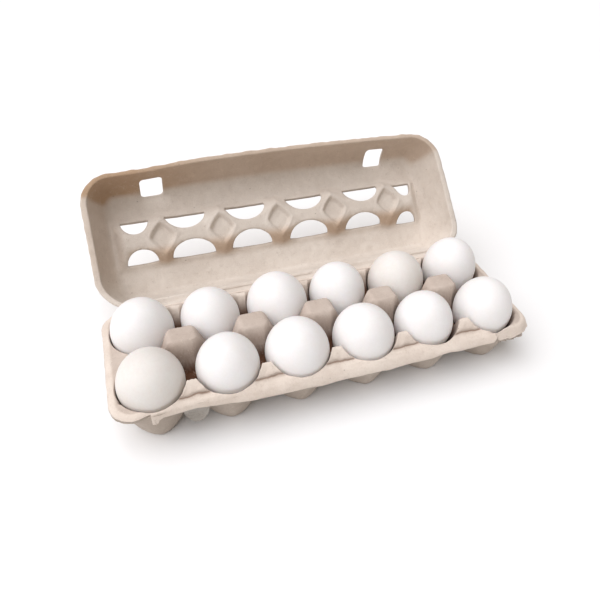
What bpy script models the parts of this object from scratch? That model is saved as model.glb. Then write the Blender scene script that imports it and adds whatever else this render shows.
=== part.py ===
"""Open carton of twelve eggs, moulded from paper pulp.

The tray is one thin moulding: two rows of cups joined by low saddles, with a post where
four cups meet, half posts along both sides and a flat rim all round. A lid of the same
pulp hangs on the back of the rim by a living hinge, and a narrow lock flap on the front.
+X runs along the rows, +Y to the hinge side, +Z up; the cups' feet stand on Z = 0.
"""
import bpy
import bmesh
import numpy as np
from math import cos, pi, radians, sin

# Tray
PITCH = 0.049            # from one cup to the next along a row
COLUMNS = 6
ROW_Y = 0.02475          # a row's centre line, from the tray's own
TRAY_Y = -0.04455        # the tray's centre line: it centres the open carton on the origin
WALL = 0.002             # pulp thickness of the tray and the lid
RIM_Z = 0.035            # top of the rim
TRAY_HALF_X = 0.1503
TRAY_FRONT = 0.0511      # rim edges, from the tray's centre line
TRAY_BACK = 0.0496
TRAY_CORNER = 0.016      # corner radius of the rim
RECESS = 0.0022          # the front edge stands in this far along the lock flap
RECESS_LEFT = -0.1385    # where the recess begins and ends, each with a blend
RECESS_RIGHT = 0.1285
RECESS_BLEND = 0.0125
RIM_INNER_X = 0.1445     # the rim is flat outside these lines
RIM_INNER_Y = 0.0450
RIM_RISE = 0.004         # width over which the rim falls away to the cups
CUP_FLOOR = 0.011        # half width of a cup's flat floor
CUP_MOUTH = 0.0234       # half width of a cup at the rim
CUP_ROUNDNESS = 2.2      # a circle is 2, a square is large
CUP_CURVE = 2.2          # how the wall steepens from floor to rim
CUP_COLLAR = 12.0        # slope of the wall above the rim, up a post
SADDLE_Z = 0.024         # the wall between neighbouring cups
POST_Z = 0.048           # flat top of a post
POST_TOP = 0.008         # half width of its top, then of its foot
POST_FOOT = 0.019
HALF_POST_Z = 0.042
HALF_POST_Y = 0.035
HALF_POST_TOP = 0.004
HALF_POST_FOOT = 0.0125

# Lid, in its own frame when shut: x along the hinge, y out from the hinge, d up from the rim
LID_HINGE_Y = 0.0500     # hinge line, from the tray's centre line
LID_HINGE_Z = 0.0354
LID_OPEN = 138.0         # degrees from shut to the resting place
LID_HALF_X = 0.1500
LID_BACK = 0.0008        # first and last edge of the lid, from the hinge
LID_FRONT = 0.1036
LID_CORNER = 0.020
LID_BROW = 0.004         # how far the front edge bows out at the middle
LID_FLANGE_X = 0.0045    # width of the flat edge
LID_FLANGE_Y = 0.0032
LID_BACK_FLANGE = 0.0012   # narrow at the hinge, where the back eggs come close
LID_DEPTH = 0.0306       # from the flat edge to the panel
LID_SIDE = 0.015         # run of the side walls, the front wall and the back wall
LID_FRONT_RUN = 0.011
LID_BACK_RUN = 0.011
LID_CURVE = 1.6          # roundness of the walls' section
RIDGE_Y = 0.05345        # centre line of the ridge, from the hinge
RIDGE_HEIGHT = 0.011     # it stands in from the panel
RIDGE_CREST = 0.005      # half width of its crest between sockets
RIDGE_BASE = 0.022
RIDGE_END = 0.1225       # half length of the crest
RIDGE_SLOPE = 0.0065     # run of its end faces
SOCKET_X = 0.013         # half diagonals of a post's socket
SOCKET_Y = 0.0145
SOCKET_DEPTH = 0.002
VENT_INNER = 0.0055      # vents lie between these lines, from the ridge's centre line
VENT_OUTER = 0.0160
VENT_HALF = 0.0155       # half length of a vent, and of the short ones at the ends
END_VENT_HALF = 0.0103
END_VENT_X = 0.1138
VENT_STEPS = 10          # straight pieces in a vent's arc
LATCH_X = 0.0953         # centre of each latch hole
LATCH_HALF = 0.0077
LATCH_D = (0.0135, 0.0340)  # depths the hole runs between
LATCH_BACK = 0.0910      # its edge nearest the hinge, from there

# Lock flap, in its own frame when raised: s up from the hinge, t back from its outer face
FLAP_HINGE_Y = 0.0503    # hinge line, in front of the tray's centre line
FLAP_HINGE_Z = 0.0344
FLAP_DOWN = 174.0        # degrees from upright to the resting place, hanging a little out
FLAP_WALL = 0.0015
FLAP_LEFT = -0.1262
FLAP_RIGHT = 0.1135
FLAP_S = (0.0022, 0.0075)  # first and last edge of the strip
TONGUE_HALF = 0.0066     # half width of a latch tongue
TONGUE_TIP = 0.0190
TONGUE_DOME = 0.0020     # how far a tongue bulges out

# Eggs: (row, column, radius, shift along the row, height of the widest part, blunt end)
EGG_LOWER = 1.47         # the pointed end below the widest part, in radii
EGG_TAPER = 0.10         # how much the pointed end draws in
EGG_SIDES = 12
EGG_RINGS = 8
EGGS = (
    ("front", 0, 0.0218, -0.0003, 0.0346, 1.13), ("front", 1, 0.0212, 0.0009, 0.0346, 1.13),
    ("front", 2, 0.0222, 0.0002, 0.0348, 1.10), ("front", 3, 0.0219, 0.0003, 0.0345, 1.12),
    ("front", 4, 0.0209, -0.0012, 0.0350, 1.17), ("front", 5, 0.0212, -0.0008, 0.0358, 1.19),
    ("back", 0, 0.0220, -0.0002, 0.0348, 1.13), ("back", 1, 0.0214, -0.0011, 0.0338, 1.12),
    ("back", 2, 0.0226, 0.0003, 0.0352, 1.11), ("back", 3, 0.0214, -0.0006, 0.0352, 1.13),
    ("back", 4, 0.0219, 0.0001, 0.0346, 1.13), ("back", 5, 0.0208, -0.0015, 0.0375, 1.24),
)

GAP_X = np.array([(k - COLUMNS / 2) * PITCH for k in range(1, COLUMNS)])
CUP_X = np.array([(k - (COLUMNS - 1) / 2) * PITCH for k in range(COLUMNS)])


def smooth(t):
    """0 to 1 with level ends, for t from 0 to 1."""
    t = np.clip(t, 0.0, 1.0)
    return t * t * (3.0 - 2.0 * t)


def away(x, centres):
    """Distance from x to the nearest of some centres."""
    return np.abs(x[..., None] - centres).min(axis=-1)


def pinch(u, half_x, corner):
    """How far a rounded corner of this radius draws an outline in at |x| = u."""
    inside = np.clip(u - (half_x - corner), 0.0, corner)
    return corner - np.sqrt(np.maximum(corner ** 2 - inside ** 2, 0.0))


def tray_height(x, y):
    """Upper surface of the tray: the cups' bowls, cut off at the saddles, posts and rim."""
    dx, dy = away(x, CUP_X), np.abs(np.abs(y) - ROW_Y)
    spread = (dx ** CUP_ROUNDNESS + dy ** CUP_ROUNDNESS) ** (1.0 / CUP_ROUNDNESS)
    rise = np.clip((spread - CUP_FLOOR) / (CUP_MOUTH - CUP_FLOOR), 0.0, None)
    bowl = WALL + (RIM_Z - WALL) * rise ** CUP_CURVE
    bowl = bowl + CUP_COLLAR * np.clip(spread - CUP_MOUTH, 0.0, None)
    gap = away(x, GAP_X)
    post = (gap ** 3 + np.abs(y) ** 3) ** (1 / 3)
    post = 1.0 - smooth((post - POST_TOP) / (POST_FOOT - POST_TOP))
    half = (gap ** 3 + np.abs(np.abs(y) - HALF_POST_Y) ** 3) ** (1 / 3)
    half = 1.0 - smooth((half - HALF_POST_TOP) / (HALF_POST_FOOT - HALF_POST_TOP))
    rim = np.maximum(np.abs(y) - RIM_INNER_Y, np.abs(x) - RIM_INNER_X) / RIM_RISE + 1.0
    top = SADDLE_Z + np.maximum.reduce([(POST_Z - SADDLE_Z) * post,
                                        (HALF_POST_Z - SADDLE_Z) * half,
                                        (RIM_Z - SADDLE_Z) * smooth(rim)])
    return np.minimum(bowl, top)


def lid_depth(x, y):
    """Inner surface of the lid, from its flat edge: rounded walls, a panel and the ridge."""
    front = LID_FRONT + LID_BROW * (1.0 - (x / LID_HALF_X) ** 2)
    side = (LID_HALF_X - LID_FLANGE_X - np.abs(x)) / LID_SIDE
    ends = np.minimum((front - LID_FLANGE_Y - y) / LID_FRONT_RUN,
                      (y - LID_BACK - LID_BACK_FLANGE) / LID_BACK_RUN)
    short = np.hypot(1.0 - np.clip(side, 0.0, 1.0), 1.0 - np.clip(ends, 0.0, 1.0))
    wall = (1.0 - np.clip(short, 0.0, 1.0) ** LID_CURVE) ** (1.0 / LID_CURVE)
    off = np.abs(y - RIDGE_Y)
    socket = np.clip(1.0 - away(x, GAP_X) / SOCKET_X, 0.0, 1.0)
    crest = RIDGE_CREST + (SOCKET_Y - RIDGE_CREST) * socket
    ridge = np.clip((RIDGE_BASE - off) / (RIDGE_BASE - crest), 0.0, 1.0)
    ridge = np.minimum(ridge, np.clip((RIDGE_END + RIDGE_SLOPE - np.abs(x)) / RIDGE_SLOPE, 0.0, 1.0))
    dimple = smooth((1.0 - away(x, GAP_X) / SOCKET_X - off / SOCKET_Y) / 0.4)
    return LID_DEPTH * wall - RIDGE_HEIGHT * ridge + SOCKET_DEPTH * dimple


def sheet(name, xs, ys, place):
    """Open grid sheet: xs by ys grid lines, each crossing put where place(x, y) says."""
    mesh = bpy.data.meshes.new(name)
    bm = bmesh.new()
    bmesh.ops.create_grid(bm, x_segments=len(xs) - 1, y_segments=len(ys) - 1, size=1.0)
    bm.to_mesh(mesh)
    bm.free()
    flat = np.empty(len(mesh.vertices) * 3)
    mesh.vertices.foreach_get("co", flat)
    flat = flat.reshape(-1, 3)
    column = np.rint((flat[:, 0] + 1.0) / 2.0 * (len(xs) - 1)).astype(int)
    row = np.rint((flat[:, 1] + 1.0) / 2.0 * (len(ys) - 1)).astype(int)
    mesh.vertices.foreach_set("co", place(np.array(xs)[column], np.array(ys)[row]).ravel())
    mesh.update()
    return mesh


def thicken(name, mesh, thickness):
    """The sheet with its wall, grown on the side away from its faces' normals, as a mesh."""
    shell = bpy.data.objects.new(name + "_sheet", mesh)
    bpy.context.scene.collection.objects.link(shell)
    solid = shell.modifiers.new("wall", "SOLIDIFY")
    solid.thickness = thickness
    solid.offset = -1.0
    bpy.context.view_layer.update()
    done = bpy.data.meshes.new_from_object(shell.evaluated_get(bpy.context.evaluated_depsgraph_get()))
    bpy.data.objects.remove(shell)
    return done


def material(name, colour, roughness):
    """Plain Principled surface."""
    made = bpy.data.materials.new(name)
    made.use_nodes = True
    shader = made.node_tree.nodes["Principled BSDF"]
    shader.inputs["Base Color"].default_value = (*colour, 1.0)
    shader.inputs["Roughness"].default_value = roughness
    shader.inputs["Metallic"].default_value = 0.0
    return made


def add(collection, name, mesh, colour, roughness=0.9, smooth_angle=None):
    """New object for a mesh, with its own material."""
    made = bpy.data.objects.new(name, mesh)
    collection.objects.link(made)
    mesh.materials.clear()
    mesh.materials.append(material(name, colour, roughness))
    if smooth_angle:
        mesh.shade_smooth()
        mesh.set_sharp_from_angle(angle=radians(smooth_angle))
    return made


def symmetric(half):
    """Grid lines both sides of zero from the positive ones."""
    return sorted({-value for value in half} | set(half))


def build_tray(collection):
    """The tray: a grid over its outline, raised to the cups and posts, walled, feet flat."""
    in_cup = (0.0, 0.0085, 0.0155, 0.0205)
    xs = sorted({round(c + s * d, 6) for c in CUP_X for d in in_cup for s in (-1, 1)}
                | {round(g, 6) for g in GAP_X} | {-0.1460, 0.1460, -TRAY_HALF_X, TRAY_HALF_X})
    rows = (0.0, 0.0045, 0.0095, 0.0160, ROW_Y, 0.0335, 0.0400, 0.0450, 0.0482)
    ys = sorted({-value for value in rows} | set(rows) | {-TRAY_FRONT, TRAY_BACK})

    def place(x, y):
        edge = np.where(y < 0.0, TRAY_FRONT, TRAY_BACK)
        squeeze = 1.0 - pinch(np.abs(x), TRAY_HALF_X, TRAY_CORNER) / edge
        y = y * squeeze
        recess = smooth((x - RECESS_LEFT) / RECESS_BLEND) * smooth((RECESS_RIGHT - x) / RECESS_BLEND)
        on_rim = np.clip((-y - RIM_INNER_Y) / (TRAY_FRONT - RIM_INNER_Y), 0.0, 1.0)
        y = y + RECESS * recess * on_rim
        return np.stack([x, y + TRAY_Y, tray_height(x, y)], axis=-1)

    mesh = thicken("tray", sheet("tray", xs, ys, place), WALL)
    bm = bmesh.new()
    bm.from_mesh(mesh)
    for vert in bm.verts:
        if vert.co.z < WALL / 4:
            vert.co.z = 0.0
    bm.to_mesh(mesh)
    bm.free()
    return add(collection, "tray", mesh, (0.62, 0.50, 0.41))


def vent_outline(centre, half, sign):
    """Half moon: a straight edge away from the ridge and an arc towards its crest."""
    reach = VENT_OUTER - VENT_INNER
    points = []
    for step in range(VENT_STEPS + 1):
        angle = pi * step / VENT_STEPS
        points.append((centre + half * cos(angle), RIDGE_Y + sign * (VENT_OUTER - reach * sin(angle))))
    return points


def prism(bm, outline, low, high):
    """Closed prism on an outline in the lid's x and y, between two depths."""
    face = bm.faces.new([bm.verts.new((x, -y, low)) for x, y in outline])
    grown = bmesh.ops.extrude_face_region(bm, geom=[face])["geom"]
    bmesh.ops.translate(bm, vec=(0.0, 0.0, high - low),
                        verts=[item for item in grown if isinstance(item, bmesh.types.BMVert)])


def build_lid_cutters(collection, hinge):
    """Vents and latch holes as one cutter object in the lid's frame."""
    bm = bmesh.new()
    for sign in (-1, 1):
        for centre in CUP_X[1:-1]:
            prism(bm, vent_outline(centre, VENT_HALF, sign), 0.010, 0.045)
        for end in (-1, 1):
            prism(bm, vent_outline(end * END_VENT_X, END_VENT_HALF, sign), 0.010, 0.045)
    past = LID_FRONT + LID_BROW + LID_FLANGE_Y
    for x in (-LATCH_X, LATCH_X):
        corners = [(x - LATCH_HALF, LATCH_BACK), (x + LATCH_HALF, LATCH_BACK),
                   (x + LATCH_HALF, past), (x - LATCH_HALF, past)]
        prism(bm, corners, *LATCH_D)
    bmesh.ops.recalc_face_normals(bm, faces=bm.faces)
    mesh = bpy.data.meshes.new("lid_holes")
    bm.to_mesh(mesh)
    bm.free()
    cutter = bpy.data.objects.new("lid_holes", mesh)
    collection.objects.link(cutter)
    cutter.parent = hinge
    cutter.hide_render = True
    cutter.display_type = "WIRE"
    return cutter


def build_lid(collection, hinge, cutter):
    """The lid: a grid over its outline, sunk to the walls, panel and ridge, walled and cut."""
    between = (0.0, 0.0065, 0.0125, 0.0185)
    xs = {round(g + s * d, 6) for g in (0.0, PITCH, 2 * PITCH) for d in between for s in (-1, 1)}
    xs |= {round(c, 6) for c in CUP_X[3:5]} | {0.1225, 0.1290, 0.1370, 0.1425, 0.1447, 0.1455, LID_HALF_X}
    xs = symmetric([x for x in xs if x >= 0.0])
    across = (-0.0220, -0.0145, -0.0085, -0.0040, 0.0, 0.0040, 0.0085, 0.0145, 0.0220)
    ys = [LID_BACK, 0.0020, 0.0026, 0.0055, 0.0130] + [RIDGE_Y + d for d in across]
    ys += [LID_FRONT - d for d in (0.0142, 0.0100, 0.0065, 0.0040, 0.0032, 0.0)]

    def place(x, y):
        middle = (LID_BACK + LID_FRONT) / 2
        squeeze = 1.0 - pinch(np.abs(x), LID_HALF_X, LID_CORNER) / (LID_FRONT - middle)
        y = middle + (y - middle) * squeeze
        start = RIDGE_Y + RIDGE_BASE
        y = y + LID_BROW * (1.0 - (x / LID_HALF_X) ** 2) * smooth((y - start) / (LID_FRONT - start))
        return np.stack([x, -y, lid_depth(x, y)], axis=-1)

    open_sheet = sheet("lid", xs, ys, place)
    lid = add(collection, "lid", thicken("lid", open_sheet, WALL), (0.66, 0.56, 0.49))
    lid.parent = hinge
    cut = lid.modifiers.new("vents and latch holes", "BOOLEAN")
    cut.operation = "DIFFERENCE"
    cut.solver = "EXACT"
    cut.object = cutter
    return lid


def build_flap(collection, hinge):
    """The lock flap: a plain strip with two domed latch tongues on its free edge."""
    low, high = FLAP_S
    tongue = [TONGUE_HALF * f for f in (-1.0, -0.75, -0.35, 0.35, 0.75, 1.0)]
    xs = symmetric([0.080, 0.060, 0.040, 0.020, 0.0] + [LATCH_X + d for d in tongue])
    xs = [FLAP_LEFT, -0.112] + list(xs) + [FLAP_RIGHT]
    ss = (low, (low + high) / 2, high)
    strip = sheet("flap_strip", xs, ss, lambda x, s: np.stack([x, 0 * x, s], axis=-1))
    bm = bmesh.new()
    bm.from_mesh(strip)
    for centre in (-LATCH_X, LATCH_X):
        add_tongue(bm, [centre + d for d in tongue], centre, high)
    bmesh.ops.remove_doubles(bm, verts=bm.verts, dist=1e-6)
    bm.to_mesh(strip)
    bm.free()
    flap = add(collection, "lock_flap", thicken("flap", strip, FLAP_WALL), (0.66, 0.54, 0.46))
    flap.parent = hinge
    return flap


def add_tongue(bm, xs, centre, base):
    """Half round tongue on the strip's edge: rows that narrow to the tip and bulge out."""
    rows = (0.0, 0.3, 0.6, 0.85, 0.97)
    previous = None
    for share in rows:
        s = base + (TONGUE_TIP - base) * share
        width = np.sqrt(1.0 - share ** 2.4)
        row = []
        for x in xs:
            across = (x - centre) / TONGUE_HALF
            dome = TONGUE_DOME * sin(pi * np.clip((share - 0.35) / 0.62, 0.0, 1.0)) * (1.0 - across ** 2)
            row.append(bm.verts.new((centre + (x - centre) * width, -dome, s)))
        if previous:
            for k in range(len(xs) - 1):
                bm.faces.new((previous[k], previous[k + 1], row[k + 1], row[k]))
        previous = row


def build_egg(collection, row, column, radius, shift, height, blunt):
    """One egg, blunt end up: a turned profile with a long drawn-in lower end."""
    points = []
    for step in range(EGG_RINGS + 1):
        angle = pi / 2 - pi * step / EGG_RINGS
        tall = radius * (blunt if angle > 0 else EGG_LOWER)
        draw = 1.0 if angle > 0 else 1.0 + EGG_TAPER * sin(angle) * 1.0
        points.append((radius * cos(angle) * draw, 0.0, tall * sin(angle)))
    points[0] = (0.0, 0.0, points[0][2])
    points[-1] = (0.0, 0.0, points[-1][2])
    mesh = bpy.data.meshes.new("egg_profile")
    mesh.from_pydata(points, [(k, k + 1) for k in range(EGG_RINGS)], [])
    name = f"egg_{row}_{column + 1}"
    egg = add(collection, name, mesh, (0.90, 0.88, 0.85), 0.5)
    turn = egg.modifiers.new("turned", "SCREW")
    turn.steps = turn.render_steps = EGG_SIDES
    turn.use_merge_vertices = True
    turn.merge_threshold = 0.00005
    side = -1.0 if row == "front" else 1.0
    egg.location = (CUP_X[column] + shift, TRAY_Y + side * ROW_Y, height)
    return egg


def hinge_empty(collection, name, y, z, degrees):
    """Empty on a hinge line, turned about it by this much from the shut or raised place."""
    made = bpy.data.objects.new(name, None)
    made.location = (0.0, TRAY_Y + y, z)
    made.rotation_euler = (radians(degrees), 0.0, 0.0)
    collection.objects.link(made)
    return made


def main():
    for item in list(bpy.data.objects):
        bpy.data.objects.remove(item)
    scene = bpy.context.scene.collection
    carton = bpy.data.collections.new("egg_carton")
    cutters = bpy.data.collections.new("cutters")
    scene.children.link(carton)
    scene.children.link(cutters)
    build_tray(carton)
    lid_hinge = hinge_empty(carton, "lid_hinge", LID_HINGE_Y, LID_HINGE_Z, -LID_OPEN)
    build_lid(carton, lid_hinge, build_lid_cutters(cutters, lid_hinge))
    flap_hinge = hinge_empty(carton, "flap_hinge", -FLAP_HINGE_Y, FLAP_HINGE_Z, FLAP_DOWN)
    build_flap(carton, flap_hinge)
    for egg in EGGS:
        build_egg(carton, *egg)


main()
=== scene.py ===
"""A moulded pulp carton of twelve eggs, standing open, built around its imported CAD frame."""

from math import cos, pi, radians, sin

import bmesh
import bpy
import numpy as np
from mathutils import Matrix, Vector


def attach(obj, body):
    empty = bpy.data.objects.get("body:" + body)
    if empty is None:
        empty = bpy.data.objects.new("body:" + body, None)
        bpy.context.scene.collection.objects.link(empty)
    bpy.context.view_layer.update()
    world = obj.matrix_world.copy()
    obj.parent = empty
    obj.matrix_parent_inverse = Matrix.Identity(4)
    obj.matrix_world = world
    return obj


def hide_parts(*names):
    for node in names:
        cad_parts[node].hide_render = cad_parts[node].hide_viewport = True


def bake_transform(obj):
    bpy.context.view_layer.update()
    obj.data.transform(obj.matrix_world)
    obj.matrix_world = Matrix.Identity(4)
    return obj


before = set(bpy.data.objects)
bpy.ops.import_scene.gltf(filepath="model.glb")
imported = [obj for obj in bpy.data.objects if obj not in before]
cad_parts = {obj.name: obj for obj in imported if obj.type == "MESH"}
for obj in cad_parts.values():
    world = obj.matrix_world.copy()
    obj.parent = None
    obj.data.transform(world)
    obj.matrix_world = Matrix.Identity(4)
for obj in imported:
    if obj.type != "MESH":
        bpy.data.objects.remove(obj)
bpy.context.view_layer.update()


# ---------------------------------------------------------------- the tray
# The bottom half of the carton, vacuum-formed in one go from grey-brown recycled paper pulp and
# dried on its mould: twelve cups on tapered feet, five tall posts down the middle, five low ones
# along each side, and a flat rim all round. Its walls are 2 mm thick and its edges are soft.
MM = 0.001
PULP_WALL = 2.0
COLUMNS = np.arange(6)
CUP_PITCH = 49.0
CUP_X = (COLUMNS - 2.5) * CUP_PITCH
GAP_X = (COLUMNS[1:] - 3.0) * CUP_PITCH
ROW_Y = 24.75
TRAY_Y = -44.55
TRAY_END, TRAY_FRONT, TRAY_BACK, TRAY_CORNER = 150.3, 51.1, 49.6, 16.0
RECESS, RECESS_LEFT, RECESS_RIGHT, RECESS_BLEND = 2.2, -137.0, 128.5, 12.5
RIM_Z, SADDLE_Z, POST_Z, HALF_POST_Z = 35.0, 24.0, 48.0, 42.0
RIM_WIDTH, RIM_ROLL = 5.0, 3.4
CUP_FLOOR, CUP_MOUTH, CUP_CURVE, COLLAR = 12.4, 23.4, 1.9, 12.0
FOOT_SHAPE, CUP_SHAPE, FOOT_SHIFT = 1.5, 2.0, 1.5


def smooth(t):
    """0 to 1 with level ends: three t squared less two t cubed."""
    t = np.clip(t, 0.0, 1.0)
    return t * t * (3.0 - 2.0 * t)


def away(x, centres):
    """Distance from x to the nearest of some centres."""
    return np.abs(x[..., None] - centres).min(axis=-1)


def lower_of(a, b, blend):
    """The lower of two heights, with the corner between them rounded over this height."""
    share = np.clip(0.5 + 0.5 * (b - a) / blend, 0.0, 1.0)
    return b + (a - b) * share - blend * share * (1.0 - share)


def higher_of(a, b, blend):
    """The higher of two heights, with the hollow between them filleted."""
    return -lower_of(-a, -b, blend)


def dents(x, y, size, seed, waves=9):
    """Slow random waves of about one wavelength `size`, from -1 to 1: a sum of sines that run
    in seeded directions, as pulp warps when it dries."""
    rng = np.random.default_rng(seed)
    total = np.zeros(np.broadcast(x, y).shape)
    for _ in range(waves):
        turn, phase, stretch = rng.uniform(0, 2 * pi), rng.uniform(0, 2 * pi), rng.uniform(0.6, 1.6)
        total = total + np.sin((x * cos(turn) + y * sin(turn)) * 2 * pi / (size * stretch) + phase)
    return total / waves ** 0.5 * 0.8


def front_recess(x):
    """How far the front rim stands in along the lock flap: level, with a blend at each end."""
    from_left, to_right = (x - RECESS_LEFT) / RECESS_BLEND, (RECESS_RIGHT - x) / RECESS_BLEND
    return RECESS * smooth(from_left) * smooth(to_right)


def cup_bowl(x, y):
    """Height of the cups' bowls. At each height a cup is a rounded diamond: a superellipse whose
    exponent grows from the foot to the mouth, while its centre moves in from the outer side. Its
    half width is a root of the height; the height is found by going round that a few times."""
    dx, out = away(x, CUP_X), np.abs(y) - ROW_Y
    share = np.full(np.broadcast(x, y).shape, 0.5)
    for _ in range(14):
        shape = FOOT_SHAPE + (CUP_SHAPE - FOOT_SHAPE) * share ** 1.6
        dy = np.abs(out - FOOT_SHIFT * (1.0 - share ** (1.0 / CUP_CURVE)))
        spread = (dx ** shape + dy ** shape) ** (1.0 / shape)
        rise = np.clip((spread - CUP_FLOOR) / (CUP_MOUTH - CUP_FLOOR), 0.0, 1.0)
        share = 0.5 * share + 0.5 * rise ** CUP_CURVE
    collar = COLLAR * np.clip(spread - CUP_MOUTH, 0.0, None)
    return PULP_WALL + (RIM_Z - PULP_WALL) * share + collar


def tray_top(x, y):
    """Height of the tray's upper side: the lower of the cup bowls and the land between them,
    which is a saddle with tall and low posts, crumpled where the low posts meet the rim."""
    bowl = cup_bowl(x, y)
    gap, side = away(x, GAP_X), np.abs(y)
    post = lower_of((20.5 - gap) / 11.0, (14.2 - side) / 6.4, 0.35)
    post = lower_of(post, np.full_like(post, 1.0), 0.16)
    post_z = SADDLE_Z + (POST_Z - SADDLE_Z) * np.clip(post, 0.0, None)
    out = HALF_POST_Z - (side - 36.6) * 0.84 - 4.0 * smooth((gap - 11.5) / 2.5)
    inner = HALF_POST_Z - (35.2 - side) * 2.4
    half_z = lower_of(lower_of(out, inner, 1.6), np.full_like(out, HALF_POST_Z), 1.2)
    half_z = np.where(gap < 14.0, half_z, SADDLE_Z)
    rim = np.maximum(side - 45.0, np.abs(x) - 144.5) / 3.0 + 1.0
    corner = np.minimum((np.abs(x) - 131.0) / 4.0, (side - 33.0) / 4.0)
    end = np.minimum((np.abs(x) - 126.0) / 8.0, (20.0 - side) / 4.0)
    rim_z = SADDLE_Z + (RIM_Z - SADDLE_Z) * smooth(np.maximum(np.maximum(rim, corner), end))
    land = higher_of(higher_of(post_z, half_z, 1.0), rim_z, 1.2)
    crumple = np.exp(-((side - 41.5) / 3.0) ** 2) * smooth((11.0 - gap) / 4.0)
    land = land + 0.50 * dents(x, y, 9.0, 9) * crumple
    return lower_of(bowl, land, 2.4)


def edge_distance(x, y):
    """How far inside the tray's round-cornered outline a point is."""
    depth = np.where(y < 0, TRAY_FRONT - front_recess(x), TRAY_BACK)
    qx, qy = np.abs(x) - (TRAY_END - TRAY_CORNER), np.abs(y) - (depth - TRAY_CORNER)
    outside = np.hypot(np.clip(qx, 0, None), np.clip(qy, 0, None))
    return TRAY_CORNER - outside - np.minimum(np.maximum(qx, qy), 0.0)


def cup_cells(rays=32):
    """Plan of the twelve cups as polar grids: rings round each cup's centre that change from
    the cup's own round shape to the four sides of its cell, which neighbours share."""
    t = np.linspace(-1.0, 1.0, rays + 1)[:-1]
    one = np.ones_like(t)
    square = np.concatenate([[t, -one], [one, t], [-t, one], [-one, -t]], axis=1)
    inner = np.array([0.0, 4.0, 7.0, 9.0, 10.5, 12.0, 13.5, 15.0, 16.5, 17.8, 19.0, 20.0, 20.9,
                      21.6, 22.2, 22.7, 23.1, 23.45])
    outer = np.array([0.06, 0.14, 0.22, 0.30, 0.38, 0.46, 0.54, 0.62, 0.70, 0.78, 0.86, 0.93, 1.0])
    plans = []
    for column in COLUMNS:
        for front in (True, False):
            west = -TRAY_END if column == 0 else CUP_X[column] - CUP_PITCH / 2
            east = TRAY_END if column == 5 else CUP_X[column] + CUP_PITCH / 2
            south, north = (-TRAY_FRONT, 0.0) if front else (0.0, TRAY_BACK)
            bx = west + (east - west) * (square[0] + 1) / 2
            by = south + (north - south) * (square[1] + 1) / 2
            depth = TRAY_FRONT if front else TRAY_BACK
            qx, qy = np.abs(bx) - (TRAY_END - TRAY_CORNER), np.abs(by) - (depth - TRAY_CORNER)
            turn = (qx > 0) & (qy > 0)
            length = np.where(turn, np.hypot(qx, qy), 1.0)
            round_x = TRAY_END - TRAY_CORNER + TRAY_CORNER * qx / length
            round_y = depth - TRAY_CORNER + TRAY_CORNER * qy / length
            bx = np.where(turn, np.sign(bx) * round_x, bx)
            by = np.where(turn, np.sign(by) * round_y, by)
            by = by * (1.0 - front_recess(bx) / TRAY_FRONT) if front else by
            cx, cy = CUP_X[column], -ROW_Y if front else ROW_Y
            rx, ry = bx - cx, by - cy
            norm = (np.abs(rx) ** CUP_SHAPE + np.abs(ry) ** CUP_SHAPE) ** (1.0 / CUP_SHAPE)
            ring = inner[:, None] / norm
            last = inner[-1] / norm
            beyond = last + (1.0 - last) * outer[:, None]
            scale = np.concatenate([ring, beyond])
            plans.append(np.stack([cx + rx * scale, cy + ry * scale], axis=-1))
    return np.array(plans)


def closed_mesh(name, points, faces, finishes=None):
    """A mesh from an array of points and an array of faces, with doubles merged. finishes gives
    each face the number of its finish."""
    mesh = bpy.data.meshes.new(name)
    mesh.from_pydata(points.reshape(-1, 3).tolist(), [], faces.tolist())
    if finishes is not None:
        mesh.polygons.foreach_set("material_index", finishes.astype(np.int32))
    bm = bmesh.new()
    bm.from_mesh(mesh)
    bmesh.ops.remove_doubles(bm, verts=bm.verts, dist=0.00002)
    bmesh.ops.delete(bm, geom=[v for v in bm.verts if not v.link_faces], context="VERTS")
    bm.to_mesh(mesh)
    bm.free()
    mesh.polygons.foreach_set("use_smooth", [True] * len(mesh.polygons))
    return mesh


def grid_faces(rows, columns, wrap=False):
    """Corner numbers of the quads of a grid; wrap joins the last column to the first."""
    across = columns if wrap else columns - 1
    r, c = np.meshgrid(np.arange(rows - 1), np.arange(across), indexing="ij")
    right = (c + 1) % columns
    return np.stack([r * columns + c, r * columns + right, (r + 1) * columns + right,
                     (r + 1) * columns + c], axis=-1).reshape(-1, 4)


def piece(name, mesh):
    """A new object for a mesh that is already in its place."""
    made = bpy.data.objects.new(name, mesh)
    bpy.context.scene.collection.objects.link(made)
    return made


def give_wall(made, wall, *finishes):
    """Pulp thickness behind the modelled side, and the finishes of that side and the far one:
    with one finish given, both have it."""
    solid = made.modifiers.new("pulp wall", "SOLIDIFY")
    solid.thickness = wall * MM
    solid.offset = -1.0
    solid.use_even_offset = False
    for finish in finishes:
        made.data.materials.append(finish)
    solid.material_offset = solid.material_offset_rim = len(finishes) - 1


def painted_shade(made, amount):
    """Store how much painted shade each point takes, from 0 to 1, by a function of its place."""
    flat = np.empty(len(made.data.vertices) * 3)
    made.data.vertices.foreach_get("co", flat)
    layer = made.data.attributes.new("painted_shade", "FLOAT", "POINT")
    layer.data.foreach_set("value", amount(*(flat.reshape(-1, 3).T / MM)).astype(np.float32))


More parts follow.
